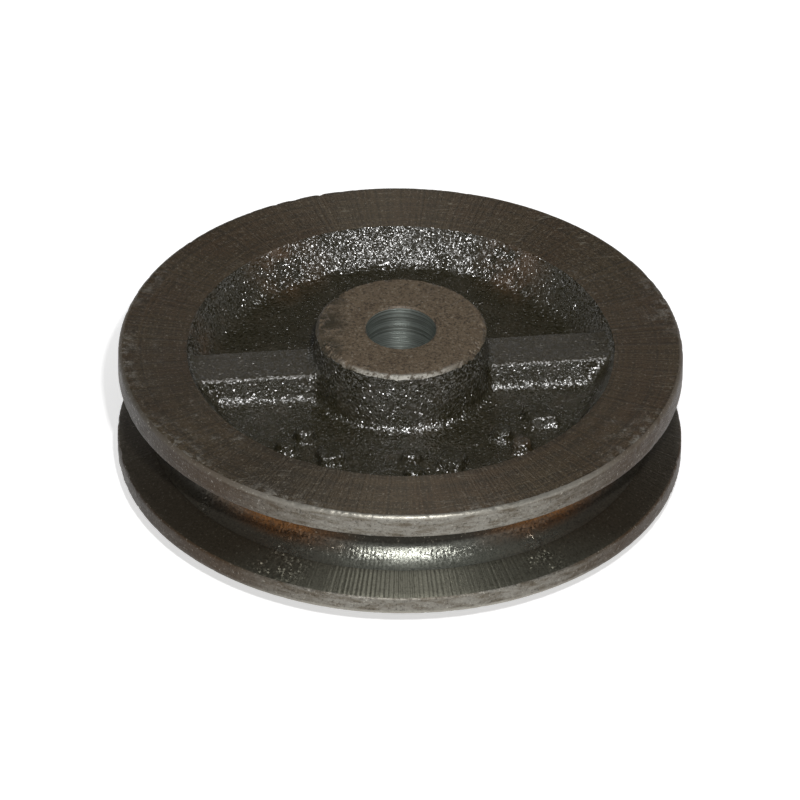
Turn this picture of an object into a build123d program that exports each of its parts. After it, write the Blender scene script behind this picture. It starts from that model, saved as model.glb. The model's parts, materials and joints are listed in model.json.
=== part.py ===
from build123d import *
import os
from math import cos, radians, sin, tan

# A cast-iron wire rope sheave, in millimetres.
#
# One casting: a bored hub, a solid web with a drafted rib on each side of the hub, and a rim
# whose rope groove is turned between two flat-faced flanges. Turned edges are chamfered, and cast
# corners are filleted. Both faces are alike, except that the front face (+Z) has a row of raised
# foundry marks on its web.
#
# Frame: the origin is the middle of the bore, halfway through the rim. +Z runs along the bore
# towards the marked face, and the ribs lie along X.

# Rim
rim_diameter = 160.0
rim_width = 34.0
rim_chamfer = 1.2

# Rope groove: two straight flanks and a round seat, for a wire rope of 14 mm
groove_seat_radius = 7.6
groove_depth = 15.6
groove_angle = 40.0
seat_edge_angle = 9.0  # between the seat's edge and the wheel's plane
groove_chamfer = 0.5
groove_offset = -0.9  # from the wheel's middle plane, so the front flange is the thicker one

# Recess between hub and rim, as deep on one face as on the other
recess_diameter = 122.0
recess_draft = 36.0
recess_floor_fillet = 4.0
web_thickness = 14.5

# Hub
hub_length = 50.0
hub_face_diameter = 48.0
hub_draft = 6.0
hub_chamfer = 0.8
hub_root_fillet = 2.2

# Bore for the sheave pin
bore_diameter = 20.0
bore_chamfer = 0.5

# Ribs
rib_top_width = 13.5
rib_drop = 2.0  # from the rim's face down to the rib's top
rib_draft = 8.0
rib_edge_radius = 1.0
rib_root_fillet = 2.2

# Foundry marks: a pair of round pips and a lozenge, three times along the front web
mark_circle_diameter = 88.0
mark_height = 3.4
mark_draft = 14.0
lozenge_length = 13.6
lozenge_width = 10.6
lozenge_corner_radius = 1.2
pip_diameter = 6.6
pip_spacing = 7.8
pip_angles = [-139.0, -92.0, -51.0]
lozenge_angles = [-123.0, -77.0, -33.0]

# Worked out from the sizes above
rim_radius = rim_diameter / 2
rim_half = rim_width / 2
recess_radius = recess_diameter / 2
floor_height = web_thickness / 2
recess_root = recess_radius - (rim_half - floor_height) * tan(radians(recess_draft))
bore_radius = bore_diameter / 2
hub_radius = hub_face_diameter / 2
hub_half = hub_length / 2
hub_root = hub_radius + (hub_half - floor_height) * tan(radians(hub_draft))
flank_slope = radians(groove_angle / 2)
seat_centre = rim_radius - groove_depth + groove_seat_radius
seat_edge = seat_centre - groove_seat_radius * sin(radians(seat_edge_angle))
seat_half = groove_seat_radius * cos(radians(seat_edge_angle))
mouth_half = seat_half + (rim_radius - seat_edge) * tan(flank_slope)
rib_top = rim_half - rib_drop

# The ribs' fillets stay within the strip of drafted wall that is left between rib top and rim face
wall_above_rib = rib_drop / cos(radians(recess_draft))
widest_rib_fillet = 0.95 * wall_above_rib / tan(radians((90 - recess_draft) / 2))


def corner(section, radius, height):
    """The vertex of a section that lies at this radius and height."""
    return section.vertices().sort_by_distance((radius, height))[0]


def groove_section():
    """The rope groove: straight flanks over the steeper round seat, and a chamfer at its mouth."""
    outside = rim_radius + rim_chamfer
    flank_end = rim_radius - groove_chamfer * cos(flank_slope)
    flank_half = mouth_half - groove_chamfer * sin(flank_slope)
    open_half = mouth_half + groove_chamfer
    flank_and_chamfer = [(seat_edge, seat_half), (flank_end, flank_half),
                         (rim_radius, open_half), (outside, open_half)]
    mirrored = [(radius, -height) for radius, height in reversed(flank_and_chamfer)]
    with BuildSketch() as section:
        with BuildLine():
            Polyline(*flank_and_chamfer, *mirrored)
            ThreePointArc((seat_edge, -seat_half), (seat_centre - groove_seat_radius, 0),
                          (seat_edge, seat_half))
        make_face()
    return Pos(0, groove_offset) * section.sketch


def wheel_section():
    """The wheel without ribs and groove, from the axis outwards: x is radius and y is height."""
    front = [
        (bore_radius, hub_half),
        (hub_radius, hub_half),
        (hub_root, floor_height),
        (recess_root, floor_height),
        (recess_radius, rim_half),
        (rim_radius, rim_half),
    ]
    back = [(radius, -height) for radius, height in reversed(front)]
    cast_corners = [
        (hub_root, floor_height, hub_root_fillet),
        (recess_root, floor_height, recess_floor_fillet),
    ]
    turned_edges = [
        (bore_radius, hub_half, bore_chamfer),
        (hub_radius, hub_half, hub_chamfer),
        (rim_radius, rim_half, rim_chamfer),
    ]
    with BuildSketch() as section:
        with BuildLine():
            Polyline(*front, *back, close=True)
        make_face()
        for side in (1, -1):
            for radius, height, size in cast_corners:
                fillet(corner(section, radius, side * height), size)
            for radius, height, size in turned_edges:
                chamfer(corner(section, radius, side * height), size)
    return section.sketch


def rib():
    """A rib from hub to rim that stands out of both sides of the web, with drafted flanks."""
    start = (bore_radius + hub_radius) / 2
    top_half = rib_top_width / 2
    middle_half = top_half + rib_top * tan(radians(rib_draft))
    with BuildSketch(Plane.YZ.offset(start)) as section:
        Polygon((top_half, rib_top), (middle_half, 0), (top_half, -rib_top),
                (-top_half, -rib_top), (-middle_half, 0), (-top_half, rib_top), align=None)
        rows = section.vertices().group_by(Axis.Z)
        fillet(rows[0] + rows[-1], rib_edge_radius)
    return extrude(section.sketch, recess_radius - start)


def lozenge():
    """A drafted lozenge, its long diagonal along X."""
    half_length, half_width = lozenge_length / 2, lozenge_width / 2
    outline = Polygon((half_length, 0), (0, half_width), (-half_length, 0), (0, -half_width))
    outline = fillet(outline.vertices(), lozenge_corner_radius)
    return extrude(outline, mark_height, taper=mark_draft)


def pips():
    """Two drafted round pips, side by side along X."""
    outline = Sketch() + [Pos(side * pip_spacing / 2, 0) * Circle(pip_diameter / 2) for side in (1, -1)]
    return extrude(outline, mark_height, taper=mark_draft)


def foundry_marks():
    """All the raised marks, each turned to its place on the mark circle."""
    on_circle = Pos(mark_circle_diameter / 2, 0, floor_height)
    marks = [Rot(0, 0, angle) * on_circle * lozenge() for angle in lozenge_angles]
    marks += [Rot(0, 0, angle) * on_circle * pips() for angle in pip_angles]
    return marks


def sheave():
    """The whole casting, filleted where the ribs run into web, hub and rim, then grooved."""
    wheel = revolve(Plane.XZ * wheel_section(), Axis.Z)
    ribs = [Rot(0, 0, angle) * rib() for angle in (0, 180)]
    ribbed = wheel + ribs
    roots = new_edges(wheel, *ribs, combined=ribbed)
    groove = revolve(Plane.XZ * groove_section(), Axis.Z)
    return fillet(roots, min(rib_root_fillet, widest_rib_fillet)) + foundry_marks() - groove


if __name__ == "__main__":
    os.makedirs("parts", exist_ok=True)
    export_step(sheave(), "parts/sheave.step")
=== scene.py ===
"""A cast-iron wire rope sheave: the rough casting, the turned rim and the studio around it."""
import json
import math

import bmesh
import bpy
import numpy as np
from mathutils import Matrix, Vector

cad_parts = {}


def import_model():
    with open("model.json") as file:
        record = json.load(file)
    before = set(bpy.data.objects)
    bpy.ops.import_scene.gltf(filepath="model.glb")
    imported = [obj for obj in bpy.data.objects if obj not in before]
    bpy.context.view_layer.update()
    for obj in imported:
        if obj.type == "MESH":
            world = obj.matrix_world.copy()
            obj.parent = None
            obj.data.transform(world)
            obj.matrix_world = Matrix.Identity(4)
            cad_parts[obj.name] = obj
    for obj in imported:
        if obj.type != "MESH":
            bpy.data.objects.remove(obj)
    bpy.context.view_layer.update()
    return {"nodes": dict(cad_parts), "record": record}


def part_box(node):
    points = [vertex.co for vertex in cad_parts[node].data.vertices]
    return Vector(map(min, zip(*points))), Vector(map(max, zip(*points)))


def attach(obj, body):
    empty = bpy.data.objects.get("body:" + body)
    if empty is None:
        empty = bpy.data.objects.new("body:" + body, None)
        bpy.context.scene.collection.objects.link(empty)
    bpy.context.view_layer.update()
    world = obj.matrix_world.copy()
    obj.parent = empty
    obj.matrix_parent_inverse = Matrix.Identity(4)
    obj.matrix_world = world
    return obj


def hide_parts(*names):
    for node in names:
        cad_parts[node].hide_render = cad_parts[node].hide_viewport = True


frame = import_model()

bl_info = {
    "name": "Wire Rope Sheave",
    "version": (1, 0, 0),
    "blender": (4, 5, 0),
    "location": "View3D > Sidebar > Sheave",
    "description": "Casts, turns and lights a wire rope sheave",
    "category": "Object",
}

MM = 0.001
NODE = "sheave"
BODY = "root"

LOW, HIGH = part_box(NODE)
BORE = next(m for m in frame["record"]["mounts"] if m["kind"] == "bore")

FRONT, BACK = 1, -1

# The split between the cast halves and the turned rim lies in solid metal, under the rim face.
SPLIT_BEHIND_RECESS = 1.5 * MM
# What the mould leaves on the faces for the lathe to take off.
ALLOWANCE = 1.0 * MM

# The material slots of a cast half and of the rim, in their order.
SKIN, TURNED, HUB_FACE, BORE_WALL = range(4)
RIM_FACE, LAND, GROOVE = range(3)


def linear(hex_colour):
    """Scene-linear RGB of an sRGB hex colour."""
    channels = [int(hex_colour[i:i + 2], 16) / 255 for i in (1, 3, 5)]
    return tuple(c / 12.92 if c <= 0.04045 else ((c + 0.055) / 1.055) ** 2.4 for c in channels)


def length(name, description, default):
    return bpy.props.FloatProperty(name=name, description=description, default=default,
                                   unit="LENGTH", min=0.0, precision=5)


def angle(name, description, default):
    return bpy.props.FloatProperty(name=name, description=description, subtype="ANGLE",
                                   default=math.radians(default))


def colour(name, description, default):
    return bpy.props.FloatVectorProperty(name=name, description=description, subtype="COLOR",
                                         size=3, min=0.0, max=1.0, default=linear(default))


class SheaveSizes(bpy.types.PropertyGroup):
    """The turned sizes of the wheel, and the relief of its cast skin."""
    rim_radius: length("Rim radius", "Outer radius of both flanges", HIGH.x)
    rim_width: length("Rim width", "Between the two rim faces", 34 * MM)
    recess_radius: length("Recess radius", "Where the rim face ends at the cast recess", 61 * MM)
    web_thickness: length("Web thickness", "Between the two floors of the recess", 14.5 * MM)
    seat_radius: length("Seat radius", "Radius of the rope's round seat", 7.6 * MM)
    seat_edge_angle: angle("Seat edge angle", "Between the seat's edge and the wheel's plane", 9)
    groove_depth: length("Groove depth", "From the rim down to the lowest line of the seat", 15.6 * MM)
    groove_angle: angle("Groove angle", "Between the two flanks", 40)
    groove_shift: length("Groove shift", "Of the groove behind the middle plane", 0.9 * MM)
    edge_radius: length("Edge radius", "Rounding of the worn rim edges", 1.3 * MM)
    hub_radius: length("Hub radius", "Outer radius of the turned hub face", 24 * MM)
    hub_chamfer: length("Hub chamfer", "Width of the chamfer round the hub face", 0.7 * MM)
    bore_radius: length("Bore radius", "Wall of the bore", BORE["dims"]["r_mm"] * MM)
    bore_chamfer: length("Bore chamfer", "Width of the chamfer at the bore's mouth", 0.5 * MM)
    grain: length("Sand grain", "Spacing of the bumps on the cast skin", 1.15 * MM)
    grain_height: length("Grain height", "Height of the bumps on the cast skin", 0.16 * MM)
    voxel: length("Voxel", "Mesh size of the cast skin", 0.465 * MM)


class SheaveFinish(bpy.types.PropertyGroup):
    """The colours of the casting and of the turned iron."""
    skin: colour("Cast skin", "Black, oily as-cast skin", "#272311")
    skin_worn: colour("Dull skin", "Skin rubbed dull on the high spots", "#332b18")
    # Also the colour of painted warm reflections on the recess wall and in the groove.
    rust_and_warm_reflection: colour("Rust", "Thin brown rust", "#7d5228")
    face: colour("Turned face", "Oxidised turned faces of the rim", "#433828")
    # Also painted shade: on the rim faces' and lands' left, and in the groove's deepest strip.
    face_dark: colour("Dark oxide", "Darkest grain of the turned faces", "#1d1810")
    # Also painted shade on the lands and the groove away from the front.
    face_brown: colour("Brown oxide", "Browner patches on the same faces", "#3e2f1f")
    hub: colour("Hub face", "Browned face of the hub", "#635543")
    # Painted light: only the front of the land keeps this colour.
    land: colour("Rim land", "Rubbed outer edge of the flanges", "#85827a")
    land_brown: colour("Browned land", "Browner streaks on the flanges' outer edge", "#53493a")
    flank: colour("Groove flank", "Dark turned flanks of the groove", "#66655a")
    seat: colour("Groove seat", "Worn seat of the rope", "#888a82")
    # Also a painted highlight on the land's corner and on the hub's edge at the front.
    bare: colour("Bare iron", "Fresh iron in nicks and scratches", "#8f897b")
    bright: colour("Polished edge", "Iron polished bright on the outermost edges", "#b5b2a8")
    bore: colour("Bore", "Reamed wall of the bore", "#8e958f")


def sizes():
    return bpy.context.scene.sheave_sizes


def finish():
    return bpy.context.scene.sheave_finish


# ---------------------------------------------------------------- nodes

# The node kinds used most: a kind, and the settings that it always has here.
PLUS = ("ShaderNodeMath", {"operation": "ADD"})
MINUS = ("ShaderNodeMath", {"operation": "SUBTRACT"})
TIMES = ("ShaderNodeMath", {"operation": "MULTIPLY"})
TIMES_PLUS = ("ShaderNodeMath", {"operation": "MULTIPLY_ADD"})
OVER = ("ShaderNodeMath", {"operation": "DIVIDE"})
LARGER = ("ShaderNodeMath", {"operation": "MAXIMUM"})
SIZE_OF = ("ShaderNodeMath", {"operation": "ABSOLUTE"})
MOVED = ("ShaderNodeVectorMath", {"operation": "ADD"})
SCALED = ("ShaderNodeVectorMath", {"operation": "SCALE"})
EASED = ("ShaderNodeMapRange", {"interpolation_type": "SMOOTHSTEP"})
MIXED = ("ShaderNodeMix", {"data_type": "RGBA"})
PEBBLES = ("ShaderNodeTexVoronoi", {"feature": "SMOOTH_F1"})
NOISE = "ShaderNodeTexNoise"
VECTOR = "ShaderNodeCombineXYZ"


def fill(tree, socket, value):
    """Sets an input to a number or a colour, or links it to a socket, or to a node's first output in use."""
    if isinstance(value, bpy.types.Node):
        value = next(output for output in value.outputs if output.enabled)
    if isinstance(value, bpy.types.NodeSocket):
        tree.links.new(value, socket)
    elif socket.type == "RGBA":
        socket.default_value = (*value[:3], 1.0)
    else:
        socket.default_value = value


def add(tree, kind, *inputs, **settings):
    """Adds a node, sets its properties, and fills its inputs. Returns the node.

    Inputs come in the order of the inputs in use, or by name in a dict.
    """
    name, usual = kind if isinstance(kind, tuple) else (kind, {})
    node = tree.nodes.new(name)
    for key, value in {**usual, **settings}.items():
        setattr(node, key, value)
    in_use = [socket for socket in node.inputs if socket.enabled]
    pairs = []
    for i, value in enumerate(inputs):
        named = isinstance(value, dict)
        pairs += [(node.inputs[key], item) for key, item in value.items()] if named else [(in_use[i], value)]
    for socket, value in pairs:
        fill(tree, socket, value)
    return node


# ---------------------------------------------------------------- geometry

def new_tree(name, sockets):
    """An empty Geometry Nodes tree with its sockets. Returns the tree and its two end nodes."""
    tree = bpy.data.node_groups.new(name, "GeometryNodeTree")
    tree.interface.new_socket("Geometry", in_out="INPUT", socket_type="NodeSocketGeometry")
    tree.interface.new_socket("Geometry", in_out="OUTPUT", socket_type="NodeSocketGeometry")
    for label, kind, default in sockets:
        socket = tree.interface.new_socket(label, in_out="INPUT", socket_type="NodeSocket" + kind)
        socket.default_value = default
    tree.interface.new_socket("Material", in_out="INPUT", socket_type="NodeSocketMaterial")
    return tree, add(tree, "NodeGroupInput"), add(tree, "NodeGroupOutput")


def close_tree(tree, start, end, geometry):
    """Ends a tree in Realize Instances and Set Material."""
    real = add(tree, "GeometryNodeRealizeInstances", geometry)
    painted = add(tree, "GeometryNodeSetMaterial", {"Geometry": real, "Material": start.outputs["Material"]})
    fill(tree, end.inputs[0], painted)


def apply_values(modifier, **values):
    """Sets a modifier's inputs by their sockets' identifiers."""
    for item in modifier.node_group.interface.items_tree:
        if item.item_type == "SOCKET" and item.in_out == "INPUT" and item.name in values:
            modifier[item.identifier] = values[item.name]


def sand_skin_tree():
    """Geometry Nodes that press the sand mould's grain into a surface, along its normals."""
    tree, start, end = new_tree("sand_skin", [
        ("Grain", "Float", 1.0), ("Grain Height", "Float", 0.1),
        ("Swell", "Float", 10.0), ("Swell Height", "Float", 0.2), ("Seed", "Float", 0.0)])
    seed = add(tree, VECTOR, {"Z": start.outputs["Seed"]})
    place = add(tree, MOVED, add(tree, "GeometryNodeInputPosition"), seed)
    per_grain = add(tree, OVER, 1.0, start.outputs["Grain"])
    per_swell = add(tree, OVER, 1.0, start.outputs["Swell"])
    pebbles = add(tree, PEBBLES, {"Vector": place, "Scale": per_grain, "Smoothness": 0.35})
    grit = add(tree, NOISE, place, per_grain, 2.0)
    swell = add(tree, NOISE, place, per_swell, 1.0)
    grains = add(tree, PLUS, add(tree, MINUS, 0.45, pebbles), add(tree, MINUS, grit, 0.5))
    broad = add(tree, TIMES, add(tree, MINUS, swell, 0.5), start.outputs["Swell Height"])
    relief = add(tree, TIMES_PLUS, grains, start.outputs["Grain Height"], broad)
    offset = add(tree, SCALED, add(tree, "GeometryNodeInputNormal"), relief)
    moved = add(tree, "GeometryNodeSetPosition", {"Geometry": start, "Offset": offset})
    close_tree(tree, start, end, moved)
    return tree


def lathe_tree():
    """Geometry Nodes that turn a chain of points in the XZ plane into a closed ring about Z.

    Each point carries two values: "along", its place along the section, and "wear", how far
    chips may eat into the surface there.
    """
    tree, start, end = new_tree("lathe", [
        ("Segments", "Int", 720), ("Chip Size", "Float", 0.003), ("Seed", "Float", 0.0)])
    chain = start.outputs[0]
    rings = add(tree, "GeometryNodeAttributeDomainSize", chain, component="MESH")
    columns = add(tree, PLUS, start.outputs["Segments"], 1.0)
    grid = add(tree, "GeometryNodeMeshGrid", 1.0, 1.0, columns, rings)
    index = add(tree, "GeometryNodeInputIndex")
    ring = add(tree, "ShaderNodeMath", index, rings, operation="MODULO")
    column = add(tree, "ShaderNodeMath", add(tree, OVER, index, rings), operation="FLOOR")
    turn = add(tree, TIMES, column, add(tree, OVER, -2 * math.pi, start.outputs["Segments"]))
    place = add(tree, "GeometryNodeInputPosition")
    profile = add(tree, "GeometryNodeSampleIndex", chain, place, ring,
                  data_type="FLOAT_VECTOR", domain="POINT")
    spun = add(tree, "ShaderNodeVectorRotate", {"Vector": profile, "Angle": turn}, rotation_type="Z_AXIS")
    kept = add(tree, "GeometryNodeSetPosition", {"Geometry": grid, "Position": spun})
    for name in ("along", "wear"):
        named = add(tree, "GeometryNodeInputNamedAttribute", name, data_type="FLOAT")
        value = add(tree, "GeometryNodeSampleIndex", chain, named, ring, data_type="FLOAT", domain="POINT")
        kept = add(tree, "GeometryNodeStoreNamedAttribute", {"Geometry": kept, "Name": name, "Value": value},
                   data_type="FLOAT", domain="POINT")
    welded = add(tree, "GeometryNodeMergeByDistance", {"Geometry": kept, "Distance": 1e-6})
    seed = add(tree, VECTOR, {"Z": start.outputs["Seed"]})
    seeded = add(tree, MOVED, place, seed)
    per_chip = add(tree, OVER, 1.0, start.outputs["Chip Size"])
    chips = add(tree, NOISE, seeded, per_chip, 4.0, 0.6)
    clusters = add(tree, NOISE, seeded, add(tree, OVER, per_chip, 9.0), 1.0)
    chipped = add(tree, EASED, chips, 0.45, 0.72)
    bite = add(tree, TIMES, chipped, add(tree, EASED, clusters, 0.4, 0.62, 0.25, 1.0))
    depth = add(tree, TIMES, bite, add(tree, "GeometryNodeInputNamedAttribute", "wear", data_type="FLOAT"))
    inward = add(tree, SCALED, add(tree, "GeometryNodeInputNormal"), add(tree, TIMES, depth, -1.0))
    worn = add(tree, "GeometryNodeSetPosition", {"Geometry": welded, "Offset": inward})
    close_tree(tree, start, end, worn)
    return tree


def tree_named(name, maker):
    return bpy.data.node_groups.get(name) or maker()


def linked(name, mesh):
    """A new object in the scene."""
    thing = bpy.data.objects.new(name, mesh)
    bpy.context.scene.collection.objects.link(thing)
    return thing


def made_plain(thing):
    """Turns an object's modifiers into a plain mesh."""
    depsgraph = bpy.context.evaluated_depsgraph_get()
    mesh = bpy.data.meshes.new_from_object(thing.evaluated_get(depsgraph))
    if mesh.materials[0] is None:
        mesh.materials.pop(index=0)
    old = thing.data
    thing.modifiers.clear()
    thing.data = mesh
    mesh.name = thing.name
    bpy.data.meshes.remove(old)
    return thing


def turned(name, profile, material, segments, chip_size=3 * MM, seed=0.0):
    """A closed ring turned from (radius, height, wear) points that go clockwise round its section."""
    chain = bpy.data.meshes.new(name)
    loop = [*profile, profile[0]]
    chain.from_pydata([(radius, 0, height) for radius, height, _ in loop],
                      [(i, i + 1) for i in range(len(loop) - 1)], [])
    steps = [math.dist(a[:2], b[:2]) for a, b in zip(loop, loop[1:])]
    along = [sum(steps[:i]) for i in range(len(loop))]
    chain.attributes.new("along", "FLOAT", "POINT").data.foreach_set("value", along)
    chain.attributes.new("wear", "FLOAT", "POINT").data.foreach_set("value", [w for _, _, w in loop])
    ring = linked(name, chain)
    lathe = ring.modifiers.new("lathe", "NODES")
    lathe.node_group = tree_named("lathe", lathe_tree)
    apply_values(lathe, **{"Segments": segments, "Chip Size": chip_size, "Seed": seed, "Material": material})
    return made_plain(ring)


def arc(centre, radius, start, stop, steps, wear=0.0):
    """Points (radius, height, wear) on an arc in the section plane, angles in degrees from +X."""
    points = []
    for i in range(steps + 1):
        a = math.radians(start + (stop - start) * i / steps)
        points.append((centre[0] + radius * math.cos(a), centre[1] + radius * math.sin(a), wear))
    return points


def straight(start, stop, steps, wear=0.0):
    """Points (radius, height, wear) on a straight line, without its two ends."""
    spaced = [i / steps for i in range(1, steps)]
    return [(start[0] + (stop[0] - start[0]) * t, start[1] + (stop[1] - start[1]) * t, wear) for t in spaced]


def read(items, name, width=1, kind=float):
    """One property of every vertex, corner or face, as an array."""
    values = np.empty(len(items) * width, kind)
    items.foreach_get(name, values)
    return values.reshape(-1, width) if width > 1 else values


def face_places(mesh):
    """Each face's middle as radius and height."""
    centres = read(mesh.polygons, "center", 3)
    return np.hypot(centres[:, 0], centres[:, 1]), centres[:, 2]


def per_corner(mesh, values):
    """Values of the faces, repeated for each of their corners."""
    return np.repeat(values, read(mesh.polygons, "loop_total", kind=int), axis=0)


def keep_map(mesh, across, up, hidden):
    """Keeps two numbers from 0 to 1 per corner as the map for baked finishes.

    Corners of hidden faces, inside the metal, share one small spot in the map's corner.
    """
    across, up = 0.98 * across, 0.98 * up
    across[hidden] = 0.985 + 0.01 * across[hidden]
    up[hidden] = 0.985 + 0.01 * up[hidden]
    layer = mesh.uv_layers.new(name="OFBake")
    layer.uv.foreach_set("vector", np.column_stack((across, up)).astype(np.float32).ravel())


def map_half(mesh, side):
    """Lays one cast half out as a disc: its walls take their own height, as the peel of a cone does."""
    s = sizes()
    hub_reach, wall_foot = 28 * MM, 51 * MM
    rib_half_width, rib_foot, rib_room = 6.5 * MM, 4 * MM, 7.5 * MM
    split, close = s.recess_radius + SPLIT_BEHIND_RECESS, 0.01 * MM
    points = read(mesh.vertices, "co", 3)[read(mesh.loops, "vertex_index", kind=int)]
    x, y, height = points[:, 0], points[:, 1], side * points[:, 2]
    radius = np.maximum(np.hypot(x, y), 1e-6)
    floor = s.web_thickness / 2
    down_hub = np.clip(HIGH.z - height, 0, HIGH.z - floor)
    up_wall = np.clip(height - floor, 0, s.rim_width / 2 - floor)
    reach = radius + np.where(radius < hub_reach, down_hub, HIGH.z - floor)
    reach += np.where(radius > wall_foot, up_wall, 0)
    in_bore = per_corner(mesh, read(mesh.polygons, "material_index", kind=int)) == BORE_WALL
    reach = np.where(in_bore, s.bore_radius * (0.15 + 0.85 * height / HIGH.z), reach)
    # The ribs' flanks stand on edge, so both sides of the web move apart to make room for them.
    beside_rib = np.sign(y) * np.clip((np.abs(y) - rib_half_width) / rib_foot, 0, 1) * rib_room
    scale = 2 * (split + HIGH.z + s.rim_width / 2 - 2 * floor + rib_room + 0.5 * MM)
    across = 0.5 + x / radius * reach / scale
    up = 0.5 + (y / radius * reach + beside_rib) / scale
    middle_radius, middle_height = face_places(mesh)
    inside = (np.abs(middle_height) < close) | (middle_radius > split - close)
    keep_map(mesh, across, up, per_corner(mesh, inside))


def map_rim(mesh):
    """Lays the rim out as four straight strips, two by two, one for each quarter turn."""
    margin, used = 0.01, 0.98
    split = sizes().recess_radius + SPLIT_BEHIND_RECESS
    index = read(mesh.loops, "vertex_index", kind=int)
    points = read(mesh.vertices, "co", 3)[index]
    along = read(mesh.attributes["along"].data, "value")[index]
    middles = read(mesh.polygons, "center", 3)
    turn = np.mod(np.arctan2(middles[:, 1], middles[:, 0]) / (math.pi / 2), 4)
    quarter = per_corner(mesh, np.floor(turn))
    own = np.arctan2(points[:, 1], points[:, 0]) / (math.pi / 2)
    own += 4 * np.round((per_corner(mesh, turn) - own) / 4)
    inside = per_corner(mesh, np.hypot(middles[:, 0], middles[:, 1])) < split + 0.1 * MM
    share = along / along[~inside].max()
    across = (quarter % 2 + margin + used * (own - quarter)) / 2
    keep_map(mesh, across, (quarter // 2 + margin + used * share) / 2, inside)


def rough_casting(name):
    """A copy of the solid as it left the mould: grown by its machining allowance and sand-grained."""
    s = sizes()
    faces = bmesh.new()
    faces.from_mesh(frame["nodes"][NODE].data)
    bmesh.ops.remove_doubles(faces, verts=faces.verts, dist=1e-7)
    slack, hub_edge, bore_edge = 0.1 * MM, 1.0 * MM, 0.6 * MM
    for vertex in faces.verts:
        radius = math.hypot(vertex.co.x, vertex.co.y)
        height = abs(vertex.co.z)
        on_rim = radius > s.recess_radius - slack and height > s.rim_width / 2 - slack
        on_hub = radius < s.hub_radius + slack and height > HIGH.z - hub_edge
        if on_rim or on_hub:
            vertex.co.z += math.copysign(ALLOWANCE, vertex.co.z)
        if radius < s.bore_radius + bore_edge:
            vertex.co.xy *= (s.bore_radius - ALLOWANCE) / s.bore_radius
    mesh = bpy.data.meshes.new(name)
    faces.to_mesh(mesh)
    faces.free()
    casting = linked(name, mesh)
    remesh = casting.modifiers.new("remesh", "REMESH")
    remesh.mode = "VOXEL"
    remesh.voxel_size = s.voxel
    soften = casting.modifiers.new("soften", "SMOOTH")
    soften.factor = 0.5
    soften.iterations = 8
    sand = casting.modifiers.new("sand", "NODES")
    sand.node_group = tree_named("sand_skin", sand_skin_tree)
    apply_values(sand, **{"Grain": s.grain, "Grain Height": s.grain_height, "Swell": 9 * MM,
                          "Swell Height": 0.3 * MM, "Seed": 0.0, "Material": cast_skin()})
    return casting


def turning_envelope(side):
    """What the lathe leaves of one half: hub face, bore and rim face, open to the recess."""
    s = sizes()
    hub, rim = HIGH.z, s.rim_width / 2
    split = s.recess_radius + SPLIT_BEHIND_RECESS
    clear = s.hub_radius + 2.0 * MM
    chamfer_start = (s.hub_radius - s.hub_chamfer, hub)
    chamfer_end = (clear, hub - (clear - chamfer_start[0]))
    between = (s.hub_radius + s.recess_radius) / 2
    chip = 1.2 * MM
    profile = [
        (s.bore_radius, 0, 0), (s.bore_radius, hub - s.bore_chamfer, 0),
        (s.bore_radius + s.bore_chamfer, hub, 0), (chamfer_start[0] - chip, hub, 0), (*chamfer_start, chip),
        *straight(chamfer_start, chamfer_end, 8, chip), (*chamfer_end, chip),
        (between, chamfer_end[1], 0), (between, rim, 0), (split, rim, 0), (split, 0, 0),
    ]
    if side == BACK:
        profile = [(radius, -height, wear) for radius, height, wear in reversed(profile)]
    return turned("turning_envelope", profile, turned_face(), 720, seed=0.05 * side)


def cast_half(name, side):
    """One half of the casting, from the middle plane out to its rough skin and turned faces."""
    casting = rough_casting(name)
    envelope = turning_envelope(side)
    cut = casting.modifiers.new("turning", "BOOLEAN")
    cut.operation = "INTERSECT"
    cut.solver = "MANIFOLD"
    cut.material_mode = "TRANSFER"
    cut.object = envelope
    made_plain(casting)
    bpy.data.objects.remove(envelope)
    mesh = casting.data
    mesh.materials.append(hub_face())
    mesh.materials.append(reamed_bore())
    radius, _ = face_places(mesh)
    index = read(mesh.polygons, "material_index", kind=int)
    machined = index == TURNED
    index[machined & (radius < sizes().hub_radius + 2.5 * MM)] = HUB_FACE
    index[machined & (radius < sizes().bore_radius + 0.1 * MM)] = BORE_WALL
    mesh.polygons.foreach_set("material_index", index)
    shade(mesh, cast_skin())
    map_half(mesh, side)
    return casting


def shade(mesh, soft=None, limit=30):
    """Smooth shading, with hard edges on turned corners and round the soft material."""
    mesh.shade_smooth()
    soft_index = mesh.materials.find(soft.name) if soft else -1
    faces = bmesh.new()
    faces.from_mesh(mesh)
    for edge in faces.edges:
        one, other = [face.material_index == soft_index for face in edge.link_faces]
        corner = edge.calc_face_angle(0) > math.radians(limit)
        edge.smooth = (one and other) or (one == other and not corner)
    faces.to_mesh(mesh)
    faces.free()


def groove_sizes():
    """The seat's centre, its edge as (radius, half width), and half the width of the groove's mouth."""
    s = sizes()
    centre = s.rim_radius - s.groove_depth + s.seat_radius
    edge = (centre - s.seat_radius * math.sin(s.seat_edge_angle), s.seat_radius * math.cos(s.seat_edge_angle))
    return centre, edge, edge[1] + (s.rim_radius - edge[0]) * math.tan(s.groove_angle / 2)


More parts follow.
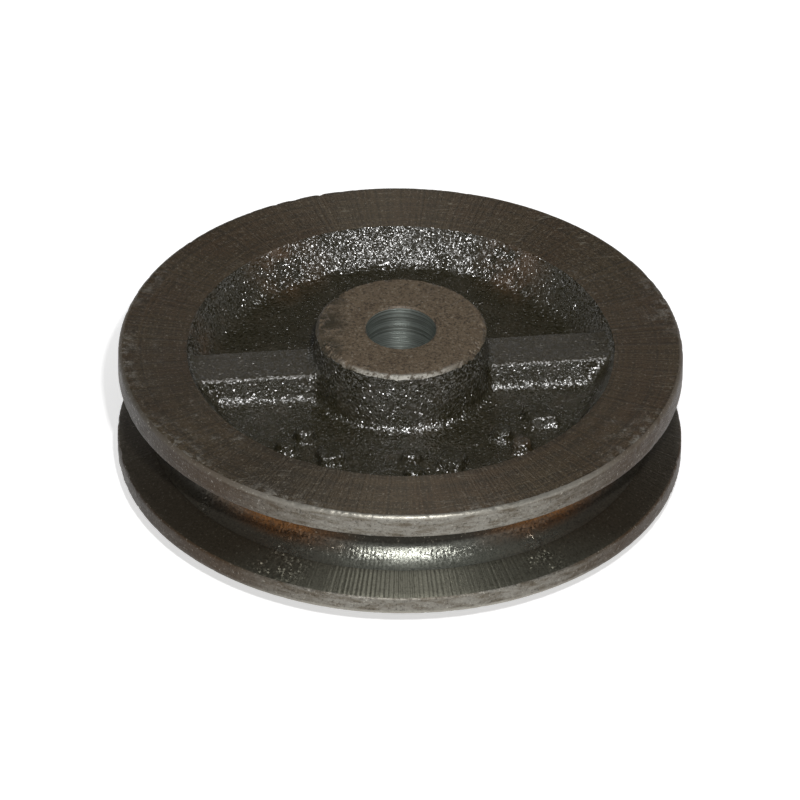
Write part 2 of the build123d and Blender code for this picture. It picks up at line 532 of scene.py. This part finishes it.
def rim_profile():
    """The rim's section, once round: front face, land, groove, land, back face and inner wall."""
    s = sizes()
    rim, half = s.rim_radius, s.rim_width / 2
    split = s.recess_radius + SPLIT_BEHIND_RECESS
    centre, seat_edge, mouth_half = groove_sizes()
    mouth, step = 0.5 * MM, 0.06 * MM
    rubbed, chipped = 0.08 * MM, 0.3 * MM
    inner = (rim - mouth * math.cos(s.groove_angle / 2), mouth_half - mouth * math.sin(s.groove_angle / 2))

    def flange(shift, edge):
        """Face, worn corner, land, mouth and flank of the flange, whose flank lies `shift` further out."""
        end = mouth_half + mouth + shift
        return [
            (split, half, 0), (rim - 6 * MM, half, 0), (rim - 3 * MM, half, 0.04 * MM),
            (rim - 2 * MM, half, 0.12 * MM),
            *arc((rim - edge, half - edge), edge, 90, 0, 8, chipped),
            *straight((rim, half - edge), (rim, end), 5, rubbed),
            (rim, end, chipped), (rim - 0.08 * MM, end - 0.3 * MM, chipped),
            (inner[0], inner[1] + shift, rubbed),
            *straight((inner[0], inner[1] + shift), (seat_edge[0], seat_edge[1] + shift), 5),
            (seat_edge[0] + step, seat_edge[1] + shift, 0),
        ]

    front = flange(-s.groove_shift, s.edge_radius)
    back = flange(s.groove_shift, 0.6 * s.edge_radius)
    back = [(radius, -height, wear) for radius, height, wear in reversed(back)]
    lean = math.degrees(s.seat_edge_angle)
    seat = arc((centre, -s.groove_shift), s.seat_radius, 90 + lean, 270 - lean, 22)
    return front + seat + back


class SHEAVE_OT_casting(bpy.types.Operator):
    """Casts both halves of hub and web, and turns their faces and bore"""
    bl_idname = "sheave.casting"
    bl_label = "Cast the hub and web"

    def execute(self, context):
        for name, side in (("cast_front", FRONT), ("cast_back", BACK)):
            half = cast_half(name, side)
            stand_in(half)
        return {"FINISHED"}


class SHEAVE_OT_rim(bpy.types.Operator):
    """Turns the rim with its rope groove"""
    bl_idname = "sheave.rim"
    bl_label = "Turn the rim"

    def execute(self, context):
        s = sizes()
        rim = turned("turned_rim", rim_profile(), turned_face(), 1200, seed=0.3)
        mesh = rim.data
        mesh.materials.append(rim_land())
        mesh.materials.append(turned_groove())
        radius, height = face_places(mesh)
        height = np.abs(height)
        half, worn = s.rim_width / 2, s.edge_radius
        index = np.full(len(mesh.polygons), GROOVE)
        index[(radius > s.rim_radius - 0.45 * MM) & (height > 9 * MM)] = LAND
        index[(radius > s.rim_radius - worn) & (height > half - worn)] = LAND
        index[(radius < s.rim_radius - 0.85 * worn) & (height > half - 0.5 * worn)] = RIM_FACE
        mesh.polygons.foreach_set("material_index", index)
        shade(mesh)
        map_rim(mesh)
        stand_in(rim)
        return {"FINISHED"}


def stand_in(piece):
    """Lets a finished piece ride on the casting's body and stand for its solid."""
    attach(piece, BODY)
    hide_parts(NODE)


# ---------------------------------------------------------------- finishes

class Finish:
    """A material under construction: its tree, its shader and the places its patterns read, in mm."""

    def __init__(self, name):
        self.material = bpy.data.materials.new(name)
        self.material.use_nodes = True
        self.tree = self.material.node_tree
        self.shader = self.tree.nodes["Principled BSDF"]
        object_place = add(self.tree, "ShaderNodeTexCoord").outputs["Object"]
        self.place = add(self.tree, SCALED, object_place, 1 / MM)
        self.x, self.y, self.z = add(self.tree, "ShaderNodeSeparateXYZ", self.place).outputs
        self.height = add(self.tree, SIZE_OF, self.z)
        self.flat = add(self.tree, VECTOR, self.x, self.y)
        self.radius = add(self.tree, "ShaderNodeVectorMath", self.flat, operation="LENGTH")
        self.direction = add(self.tree, "ShaderNodeVectorMath", self.flat, operation="NORMALIZE")

    def spots(self, *places):
        """1 at each (bearing, radius, reach, strength), easing to 0 at its reach.

        The bearing counts from +X in degrees, and spots lie alike on both sides of the wheel.
        """
        result = 0.0
        for bearing, radius, reach, strength in places:
            a = math.radians(bearing)
            away = add(self.tree, "ShaderNodeVectorMath", self.flat,
                       (radius * math.cos(a), radius * math.sin(a), 0.0), operation="DISTANCE")
            result = add(self.tree, LARGER, result, add(self.tree, EASED, away, reach, 0.0, 0.0, strength))
        return result

    def turning_lines(self, pitch, along):
        """Noise in rings: one value for each `pitch` of the number `along`, almost none around."""
        across = add(self.tree, VECTOR, add(self.tree, OVER, along, pitch))
        around = add(self.tree, SCALED, self.direction, 0.7)
        return add(self.tree, NOISE, add(self.tree, MOVED, across, around), 1.0, 2.0)

    def chatter(self, per_turn):
        """Noise in narrow rays: many lines per turn, and the same value from hub to rim."""
        return add(self.tree, NOISE, self.direction, per_turn / (2 * math.pi), 1.0)

    def comb(self, per_turn):
        """The even marks of a tool that sings: waves across the surface, a whole number per turn."""
        bearing = add(self.tree, "ShaderNodeMath", self.y, self.x, operation="ARCTAN2")
        turns = add(self.tree, TIMES, bearing, float(per_turn))
        return add(self.tree, "ShaderNodeMath", turns, operation="SINE")

    def scratches(self):
        """A few long, thin, slightly wavy scratches, in patches."""
        tree = self.tree
        turned_place = add(tree, "ShaderNodeMapping", {
            "Vector": self.place, "Rotation": (0.0, 0.0, 0.6), "Scale": (0.03, 0.3, 0.3)})
        wave = add(tree, SIZE_OF, add(tree, MINUS, add(tree, NOISE, turned_place, 1.0, 1.0), 0.5))
        patch = add(tree, EASED, add(tree, NOISE, self.place, 1 / 16.0), 0.55, 0.62)
        return add(tree, TIMES, add(tree, EASED, wave, 0.006, 0.002), patch)

    def set(self, **values):
        """Sets or links the shader's inputs, named with underscores for spaces."""
        for key, value in values.items():
            fill(self.tree, self.shader.inputs[key.replace("_", " ")], value)
        return self

    def lathe_gloss(self, amount):
        """Turning marks run round the axis, so the gloss is drawn out across them."""
        round_axis = add(self.tree, "ShaderNodeVectorMath", (0.0, 0.0, 1.0), self.direction,
                         operation="CROSS_PRODUCT")
        return self.set(Anisotropic=amount, Anisotropic_Rotation=0.25, Tangent=round_axis)

    def grains(self, size, lean):
        """The normal of a surface broken into small flat grains, each with a lean of its own."""
        cells = add(self.tree, "ShaderNodeTexVoronoi", {"Vector": self.place, "Scale": 1 / size})
        tilt = add(self.tree, MOVED, cells.outputs["Color"], (-0.5, -0.5, -0.5))
        normal = add(self.tree, "ShaderNodeNewGeometry").outputs["Normal"]
        leaning = add(self.tree, MOVED, normal, add(self.tree, SCALED, tilt, lean))
        return add(self.tree, "ShaderNodeVectorMath", leaning, operation="NORMALIZE")

    def relief(self, distance, *layers, over=None):
        """Relief from (pattern, share) pairs: a pattern's full swing stands `distance` times its share.

        It may lie over another normal, such as that of `grains`.
        """
        total = 0.0
        for pattern, share in layers:
            total = add(self.tree, TIMES_PLUS, pattern, share, total)
        raised = {"Height": total, "Distance": distance}
        if over:
            raised["Normal"] = over
        return self.set(Normal=add(self.tree, "ShaderNodeBump", raised))


def made_once(name):
    """Makes a material the first time that it is asked for, and hands out the same one after that."""
    def wrap(maker):
        def get():
            return bpy.data.materials.get(name) or maker(Finish(name), finish())
        get.__doc__ = maker.__doc__
        return get
    return wrap


@made_once("as_cast_iron_skin")
def cast_skin(f, c):
    """As-cast grey iron under black foundry oil: near black, glossy, its sand grain full of glints."""
    t = f.tree
    tone = add(t, NOISE, f.place, 1 / 9.0, 5.0, 0.65)
    # Sand of about 0.3 mm leaves a finer grain than these three, which would not show.
    grain = f.grains(0.62, 0.64)
    grit = add(t, NOISE, f.place, 1 / 0.75, 1.0)
    cells = add(t, PEBBLES, {"Vector": f.place, "Scale": 1 / 0.95, "Smoothness": 0.1})
    hollows = add(t, TIMES, cells, cells)
    on_rib = add(t, TIMES, add(t, EASED, f.radius, 26.0, 27.0), add(t, EASED, f.radius, 59.5, 58.0))
    rib_top = add(t, TIMES, add(t, EASED, f.height, 14.2, 14.7), on_rib)
    # Partly rust, partly painted warm reflection: orange-brown spots on the recess wall stand in for warm
    # light reflected there.
    rust_and_warm_reflection = f.spots((119, 60, 17, 1.0), (50, 60, 16, 1.0), (165, 57, 12, 0.6), (-52, 53, 12, 0.5))
    rust_and_warm_reflection = add(t, TIMES, rust_and_warm_reflection, add(t, EASED, tone, 0.36, 0.6))
    base = add(t, MIXED, add(t, EASED, tone, 0.48, 0.72, 0.0, 0.8), c.skin, c.skin_worn)
    base = add(t, MIXED, add(t, TIMES, rib_top, 0.55), base, c.skin_worn)
    base = add(t, MIXED, add(t, EASED, grit, 0.58, 0.7, 0.0, 0.5), base, c.skin_worn)
    base = add(t, MIXED, add(t, TIMES, rust_and_warm_reflection, 0.26), base, c.rust_and_warm_reflection)
    dull = add(t, LARGER, add(t, TIMES, rib_top, 1.6), add(t, TIMES, rust_and_warm_reflection, 0.6))
    rough = add(t, TIMES_PLUS, dull, 0.12, add(t, EASED, tone, 0.35, 0.7, 0.25, 0.33))
    # The skin is black iron oxide and no bare metal, so it has the oxide's IOR.
    f.set(Base_Color=base, Roughness=rough, Metallic=0.0, IOR=2.3)
    f.relief(0.3 * MM, (hollows, -0.7), (grit, 1.0), over=grain)
    return f.material


@made_once("oxidised_turned_iron")
def turned_face(f, c):
    """Turned grey iron under thin brown oxide: dark, with fine rings and a gloss drawn out across them."""
    t = f.tree
    patches = add(t, NOISE, f.place, 1 / 22.0, 4.0, 0.6)
    specks = add(t, NOISE, f.place, 1 / 0.7, 3.0, 0.75)
    blotches = add(t, NOISE, f.place, 1 / 3.5, 5.0, 0.7)
    knocked = f.spots((-150, 78, 24, 1.0), (-122, 79, 20, 1.0), (178, 80, 26, 0.8), (12, 78, 22, 0.9),
                      (-38, 78, 22, 0.9), (28, 63, 12, 0.7), (150, 78, 20, 0.5), (-80, 80, 14, 0.6),
                      (-158, 63, 12, 0.8), (-143, 64, 10, 0.8))
    edge = add(t, EASED, f.radius, 74.0, 79.6, 0.15, 1.0)
    rubbed = add(t, TIMES, add(t, TIMES, edge, knocked), add(t, EASED, blotches, 0.47, 0.58))
    nicks = add(t, TIMES, add(t, EASED, blotches, 0.61, 0.65), knocked)
    rubbed = add(t, LARGER, rubbed, add(t, TIMES, nicks, 0.8))
    # The tool's feed leaves finer rings than this, which would not show.
    rings = f.turning_lines(0.8, f.radius)
    rays = f.chatter(520)
    weave = add(t, TIMES, add(t, PLUS, rings, rays), 0.5)
    base = add(t, MIXED, add(t, EASED, patches, 0.35, 0.7), c.face, c.face_brown)
    # Painted shade: dark oxide mixed in at these bearings darkens the faces, mostly on their left, where they
    # lie in shade.
    painted_shade_spots = f.spots((-172, 71, 40, 0.3), (-126, 71, 34, 0.5), (-52, 71, 20, 0.1))
    base = add(t, MIXED, painted_shade_spots, base, c.face_dark)
    base = add(t, MIXED, add(t, EASED, weave, 0.53, 0.42, 0.0, 0.6), base, c.face_dark)
    base = add(t, MIXED, add(t, EASED, specks, 0.47, 0.38, 0.0, 0.7), base, c.face_dark)
    base = add(t, MIXED, add(t, EASED, specks, 0.57, 0.7, 0.0, 0.5), base, c.bare)
    base = add(t, MIXED, add(t, TIMES, f.scratches(), 0.5), base, c.bare)
    base = add(t, MIXED, add(t, TIMES, rubbed, add(t, EASED, specks, 0.4, 0.55, 0.3, 0.9)), base, c.land)
    f.set(Base_Color=base, Metallic=0.0, Roughness=0.62)
    f.set(Specular_IOR_Level=0.9, Specular_Tint=linear("#fff3e0"))
    f.lathe_gloss(0.75)
    f.relief(0.28 * MM, (rings, 1.0), (rays, 1.0), (specks, 1.2), (add(t, TIMES, blotches, rubbed), 1.2))
    return f.material


@made_once("rough_faced_hub_iron")
def hub_face(f, c):
    """Hub face, faced off coarsely and left to brown: matte and even, with a sandy speckle."""
    t = f.tree
    specks = add(t, NOISE, f.place, 1 / 0.75, 3.0, 0.75)
    blotches = add(t, NOISE, f.place, 1 / 2.6, 5.0, 0.7)
    pitted = add(t, TIMES, f.spots((168, 22, 11, 1.0), (198, 23, 8, 1.0), (140, 23.5, 6, 0.8)),
                 add(t, EASED, blotches, 0.42, 0.5))
    rim = add(t, EASED, f.radius, 22.2, 23.6)
    # Partly wear, partly painted highlight: the rim of the hub face is painted bright and glossier only at
    # the front, toward camera and lamp, where it is also chipped.
    front_highlight_and_wear = add(t, TIMES, rim, add(t, EASED, blotches, 0.38, 0.5))
    front_highlight_and_wear = add(t, TIMES, front_highlight_and_wear, f.spots((-97, 24, 24, 1.0)))
    dark_rim = add(t, EASED, f.radius, 23.0, 23.9)
    dark_rim = add(t, TIMES, dark_rim, add(t, EASED, blotches, 0.42, 0.55, 1.0, 0.3))
    base = add(t, MIXED, add(t, EASED, blotches, 0.45, 0.7, 0.0, 0.55), c.hub, c.face_brown)
    base = add(t, MIXED, add(t, EASED, specks, 0.48, 0.38, 0.0, 0.75), base, c.face_dark)
    base = add(t, MIXED, add(t, EASED, specks, 0.56, 0.7, 0.0, 0.7), base, c.bare)
    base = add(t, MIXED, add(t, TIMES, dark_rim, 0.7), base, c.skin_worn)
    base = add(t, MIXED, add(t, TIMES, pitted, 0.9), base, c.skin)
    base = add(t, MIXED, front_highlight_and_wear, base, c.bright)
    rough = add(t, TIMES_PLUS, front_highlight_and_wear, -0.3, 0.58)
    f.set(Base_Color=base, Metallic=0.0, Roughness=rough, Specular_IOR_Level=0.6)
    knocks = add(t, TIMES, specks, front_highlight_and_wear)
    f.relief(0.12 * MM, (specks, 1.0), (blotches, 1.2), (pitted, -2.0), (knocks, 3.0))
    return f.material


@made_once("rubbed_iron_edge")
def rim_land(f, c):
    """The flanges' outer edge, rubbed in handling: light grey iron, softly polished, with small knocks."""
    t = f.tree
    along_rim = add(t, "ShaderNodeMapping", {"Vector": f.place, "Scale": (0.16, 0.16, 0.6)})
    rub = add(t, NOISE, along_rim, 1.0, 6.0, 0.7)
    knocks = add(t, NOISE, f.place, 1 / 0.8, 4.0, 0.75)
    # Painted light: the land keeps its light grey, and takes metal, only at the front, which faces camera and
    # lamp; towards the sides and back it turns to brown oxide as painted shade.
    front = add(t, EASED, f.y, -54.0, -79.0)
    base = add(t, MIXED, add(t, EASED, rub, 0.38, 0.7, 0.0, 0.85), c.land, c.land_brown)
    base = add(t, MIXED, add(t, TIMES_PLUS, front, -0.95, 0.95), base, c.face_brown)
    # Painted shade: dark oxide on the land's left, and a little at the right back.
    base = add(t, MIXED, f.spots((-168, 80, 46, 0.6), (24, 80, 30, 0.25)), base, c.face_dark)
    base = add(t, MIXED, add(t, EASED, knocks, 0.46, 0.36, 0.0, 0.55), base, c.face_dark)
    base = add(t, MIXED, add(t, EASED, knocks, 0.58, 0.7, 0.0, 0.6), base, c.bright)
    # The worn corner is polished, and its bright colour grows towards the front as a painted highlight.
    corner = add(t, TIMES, add(t, EASED, f.height, 15.4, 16.4), add(t, EASED, rub, 0.3, 0.5, 0.4, 1.0))
    corner = add(t, TIMES, corner, add(t, TIMES_PLUS, front, 0.75, 0.25))
    base = add(t, MIXED, add(t, TIMES, corner, 0.5), base, c.bright)
    rough = add(t, TIMES_PLUS, corner, -0.08, add(t, EASED, rub, 0.3, 0.7, 0.4, 0.54))
    f.set(Base_Color=base, Metallic=add(t, TIMES, front, 0.7), Roughness=rough, Specular_IOR_Level=0.2)
    f.lathe_gloss(0.3)
    # The polished corner has lost most of its knocks.
    knocks = add(t, TIMES, knocks, add(t, TIMES_PLUS, corner, -0.8, 1.0))
    f.relief(0.13 * MM, (knocks, 1.0), (rub, 1.5))
    return f.material


@made_once("turned_groove_iron")
def turned_groove(f, c):
    """Turned iron of the rope groove: dark flanks with chatter across them, and a brighter, worn seat."""
    t = f.tree
    centre, seat_edge, _ = groove_sizes()
    edge, lowest = seat_edge[0] / MM, (centre - sizes().seat_radius) / MM
    # About 0.8 mm and 1.2 mm from line to line on the flanks.
    chatter, comb = f.chatter(560), f.comb(372)
    patches = add(t, NOISE, f.place, 1 / 7.0, 4.0)
    specks = add(t, NOISE, f.place, 1 / 0.7, 3.0, 0.75)
    in_seat = add(t, EASED, f.radius, edge + 0.1, edge - 0.1)
    # The rope's bed runs bright. Its deepest strip, which the flanges keep in shade, is darkened with dark
    # oxide as painted shade.
    painted_shade_deep = add(t, EASED, f.radius, lowest + 0.9, lowest + 0.3)
    # Partly rust, partly painted warm reflection: orange-brown spots under the lips, beside the front and
    # copied behind, stand in for warm light reflected in the groove.
    warm_reflection_and_rust = f.spots((-130, lowest, 30, 1.0), (-54, lowest, 32, 1.0), (-33, lowest, 24, 0.9),
                    (70, lowest, 26, 0.8), (160, lowest, 30, 0.8))
    warm_reflection_and_rust = add(t, TIMES, add(t, TIMES, add(t, EASED, f.radius, lowest + 4.0, lowest + 1.0), warm_reflection_and_rust),
                add(t, EASED, patches, 0.3, 0.6, 0.4, 1.0))
    # Painted shade: away from the front, which faces camera and lamp, flank and seat turn to the darker brown
    # oxide.
    painted_shade_off_front = add(t, EASED, f.y, -72.0, -50.0, 0.0, 0.65)
    flank, seat = [add(t, MIXED, painted_shade_off_front, tint, c.face_brown) for tint in (c.flank, c.seat)]
    base = add(t, MIXED, in_seat, flank, seat)
    base = add(t, MIXED, add(t, TIMES, painted_shade_deep, 0.9), base, c.face_dark)
    base = add(t, MIXED, add(t, TIMES, warm_reflection_and_rust, add(t, EASED, specks, 0.4, 0.6, 0.6, 1.0)), base, c.rust_and_warm_reflection)
    base = add(t, MIXED, add(t, EASED, specks, 0.6, 0.72, 0.0, 0.8), base, c.bare)
    base = add(t, MIXED, add(t, EASED, specks, 0.48, 0.38, 0.0, 0.35), base, c.face_dark)
    knocked = f.spots((-124, 74, 13, 1.0), (-62, 74, 13, 1.0), (-150, 73, 10, 0.6), (110, 75, 12, 0.8))
    knocked = add(t, TIMES, knocked, add(t, EASED, patches, 0.4, 0.6))
    rough = add(t, TIMES_PLUS, in_seat, -0.21, add(t, TIMES_PLUS, patches, 0.1, 0.46))
    rough = add(t, TIMES_PLUS, knocked, -0.12, rough)
    f.set(Base_Color=base, Metallic=0.8, Roughness=rough)
    f.lathe_gloss(0.8)
    sung = f.spots((-98, 73, 24, 0.2), (-70, 73, 12, 0.06), (88, 73, 22, 0.1))
    lines = add(t, TIMES_PLUS, comb, sung, add(t, TIMES, chatter, 0.45))
    lines = add(t, TIMES, lines, add(t, TIMES_PLUS, in_seat, -0.75, 1.0))
    bed = f.grains(0.55, add(t, TIMES_PLUS, in_seat, 0.14, add(t, TIMES, knocked, 0.9)))
    f.relief(0.12 * MM, (lines, 1.7), (specks, 0.7), over=bed)
    return f.material


@made_once("reamed_iron_bore")
def reamed_bore(f, c):
    """The reamed wall of the bore: blue-grey, half bright, with fine rings."""
    t = f.tree
    # Drawn coarser than a reamer's feed, so that the rings show.
    rings = f.turning_lines(0.3, f.z)
    base = add(t, MIXED, add(t, EASED, rings, 0.42, 0.6, 0.0, 0.5), c.bore, c.skin)
    f.set(Base_Color=base, Metallic=0.6, Roughness=0.42)
    f.lathe_gloss(0.75)
    f.relief(0.3 * MM, (rings, 1.0))
    return f.material


# ---------------------------------------------------------------- stage

# Angles in degrees, lengths in metres. The view's width is measured at the wheel.
VIEW_AZIMUTH = -7.0
VIEW_ELEVATION = 35.9
VIEW_ROLL = 0.775
CAMERA_DISTANCE = 7.98
VIEW_WIDTH = 0.2268
FLOOR_REACH = 4.0
# What the lamps' light on the floor lacks to white.
FLOOR_LIFT = 0.62


def looking(azimuth, elevation):
    """The unit vector from the wheel towards a place at this azimuth and elevation, in degrees."""
    a, e = math.radians(azimuth), math.radians(elevation)
    return Vector((math.sin(a) * math.cos(e), -math.cos(a) * math.cos(e), math.sin(e)))


def lamp(name, azimuth, elevation, distance, size, power):
    """A square, white area lamp that faces the wheel. Its azimuth counts from the camera's."""
    data = bpy.data.lights.new(name, "AREA")
    data.shape = "SQUARE"
    data.size = size
    data.energy = power
    thing = bpy.data.objects.new(name, data)
    bpy.context.scene.collection.objects.link(thing)
    towards = looking(VIEW_AZIMUTH + azimuth, elevation)
    thing.location = towards * distance
    thing.rotation_mode = "QUATERNION"
    thing.rotation_quaternion = towards.to_track_quat("Z", "Y")


def camera():
    """A long lens, far off, at the elevation from which rim face and groove both show."""
    data = bpy.data.cameras.new("camera")
    data.sensor_width = 36.0
    data.lens = data.sensor_width * CAMERA_DISTANCE / VIEW_WIDTH
    data.clip_end = 100.0
    thing = bpy.data.objects.new("camera", data)
    bpy.context.scene.collection.objects.link(thing)
    towards = looking(VIEW_AZIMUTH, VIEW_ELEVATION)
    turn = towards.to_track_quat("Z", "Y").to_matrix().to_4x4()
    turn = turn @ Matrix.Rotation(math.radians(VIEW_ROLL), 4, "Z")
    aim = Vector((0.0, 0.0, -0.35 * MM))
    thing.matrix_world = Matrix.Translation(aim + towards * CAMERA_DISTANCE) @ turn
    bpy.context.scene.camera = thing


def seen_rays(tree):
    """1 for what the eye sees, straight or in a reflection, and 0 for light on its way."""
    rays = add(tree, "ShaderNodeLightPath").outputs
    seen = add(tree, LARGER, rays["Is Camera Ray"], rays["Is Glossy Ray"])
    return add(tree, LARGER, seen, rays["Is Transmission Ray"])


def floor_material():
    """White painted board, lifted to paper white for the camera, with the wheel's shadow on it."""
    material = bpy.data.materials.new("white_board")
    material.use_nodes = True
    tree = material.node_tree
    shader = tree.nodes["Principled BSDF"]
    shader.inputs["Base Color"].default_value = (0.8, 0.8, 0.8, 1.0)
    shader.inputs["Roughness"].default_value = 0.9
    shader.inputs["Emission Color"].default_value = (1.0, 1.0, 1.0, 1.0)
    fill(tree, shader.inputs["Emission Strength"], add(tree, TIMES, seen_rays(tree), FLOOR_LIFT))
    return material


def world():
    """A white wall all round, up to a little above the horizon, under a dim grey ceiling.

    Only what the eye and reflections see is so white: as a light, it stays a soft fill.
    """
    scene = bpy.context.scene
    scene.world = bpy.data.worlds.new("studio")
    scene.world.use_nodes = True
    tree = scene.world.node_tree
    background = tree.nodes["Background"]
    towards = add(tree, "ShaderNodeTexCoord").outputs["Generated"]
    up = add(tree, "ShaderNodeSeparateXYZ", towards).outputs["Z"]
    wall = add(tree, EASED, up, 0.05, 0.3, 1.0, 0.06)
    fill(tree, background.inputs["Strength"], add(tree, "ShaderNodeMix", seen_rays(tree), 0.18, wall))
    background.inputs["Color"].default_value = (1.0, 1.0, 1.0, 1.0)


class SHEAVE_OT_stage(bpy.types.Operator):
    """Sets up the floor, the lamps, the world and the camera"""
    bl_idname = "sheave.stage"
    bl_label = "Set the stage"

    def execute(self, context):
        mesh = bpy.data.meshes.new("floor")
        r = FLOOR_REACH
        corners = [(-r, -r, LOW.z), (r, -r, LOW.z), (r, r, LOW.z), (-r, r, LOW.z)]
        mesh.from_pydata(corners, [], [(0, 1, 2, 3)])
        mesh.materials.append(floor_material())
        floor = linked("floor", mesh)
        lamp("key", 4.0, 43.3, 2.0, 0.07, 27.0)
        lamp("soft", 4.0, 60.0, 2.2, 1.2, 7.0)
        world()
        camera()
        context.scene.view_settings.view_transform = "Standard"
        return {"FINISHED"}


class SHEAVE_PT_panel(bpy.types.Panel):
    """Lists the wheel's pieces in the sidebar"""
    bl_idname = "SHEAVE_PT_panel"
    bl_label = "Wire Rope Sheave"
    bl_space_type = "VIEW_3D"
    bl_region_type = "UI"
    bl_category = "Sheave"

    def draw(self, context):
        for operator in (SHEAVE_OT_casting, SHEAVE_OT_rim, SHEAVE_OT_stage):
            self.layout.operator(operator.bl_idname)
        for group in (context.scene.sheave_sizes, context.scene.sheave_finish):
            for name in group.bl_rna.properties.keys():
                if name not in ("rna_type", "name"):
                    self.layout.prop(group, name)


CLASSES = (SheaveSizes, SheaveFinish, SHEAVE_OT_casting, SHEAVE_OT_rim, SHEAVE_OT_stage, SHEAVE_PT_panel)


def register():
    for item in CLASSES:
        bpy.utils.register_class(item)
    bpy.types.Scene.sheave_sizes = bpy.props.PointerProperty(type=SheaveSizes)
    bpy.types.Scene.sheave_finish = bpy.props.PointerProperty(type=SheaveFinish)


def unregister():
    del bpy.types.Scene.sheave_finish
    del bpy.types.Scene.sheave_sizes
    for item in reversed(CLASSES):
        bpy.utils.unregister_class(item)


def main():
    register()
    bpy.ops.sheave.casting()
    bpy.ops.sheave.rim()
    bpy.ops.sheave.stage()


if __name__ == "__main__":
    main()
